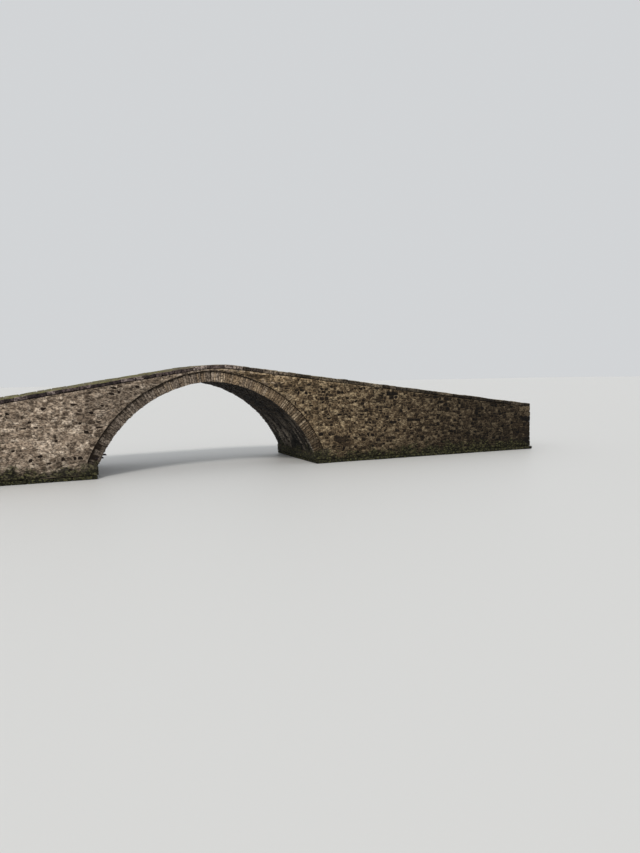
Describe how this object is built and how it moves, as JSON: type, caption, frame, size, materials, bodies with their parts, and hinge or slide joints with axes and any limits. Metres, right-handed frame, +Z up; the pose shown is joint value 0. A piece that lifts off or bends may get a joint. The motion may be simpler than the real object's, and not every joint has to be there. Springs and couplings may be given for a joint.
{
  "type": "stone arch bridge",
  "caption": "Low hump-backed stone footbridge: one slightly pointed rubble arch with recessed rings, spandrel and wing walls, slab copings and a paved deck with no parapet.",
  "frame": {"origin": "on the level foot of the walls, under the middle of the arch and halfway between the faces", "axes": "+X along the bridge to the picture's right, +Y across it away from the picture's viewer, +Z up"},
  "size_m": [20.58, 3.18, 2.7435],
  "materials": {
    "ring_stone": "thin radial arch stones, weathered grey to warm brown, matt",
    "soffit_stone": "damp dark brown stone under the arch, matt",
    "jamb_stone": "squared springer blocks, wet and dark at the foot, matt",
    "foot_stone": "large base stones, dark green and black stained, rough",
    "rubble_wall": "roughly coursed rubble with flush mortar, matt",
    "coping_stone": "dark grey to purple slabs with a mossy worn edge, rough",
    "paving_stone": "worn cobbles with moss in the joints, rough",
    "core_rubble": "loose rubble in lime mortar, unseen"
  },
  "bodies": {
    "root": {"back_crown_coping": "coping_stone", "back_left_arch_ring": "ring_stone", "back_left_coping": "coping_stone", "back_left_wing_wall": "rubble_wall", "back_right_arch_ring": "ring_stone", "back_right_coping": "coping_stone", "back_right_wing_wall": "rubble_wall", "back_spandrel_wall": "rubble_wall", "crown_deck": "paving_stone", "front_crown_coping": "coping_stone", "front_left_arch_ring": "ring_stone", "front_left_coping": "coping_stone", "front_left_wing_wall": "rubble_wall", "front_right_arch_ring": "ring_stone", "front_right_coping": "coping_stone", "front_right_wing_wall": "rubble_wall", "front_spandrel_wall": "rubble_wall", "left_abutment": "foot_stone", "left_arch_vault": "soffit_stone", "left_deck": "paving_stone", "left_end_wall": "rubble_wall", "left_footing": "foot_stone", "left_rubble_fill": "core_rubble", "left_springer": "jamb_stone", "right_abutment": "foot_stone", "right_arch_vault": "soffit_stone", "right_deck": "paving_stone", "right_end_wall": "rubble_wall", "right_footing": "foot_stone", "right_rubble_fill": "core_rubble", "right_springer": "jamb_stone"}
  },
  "joints": []
}
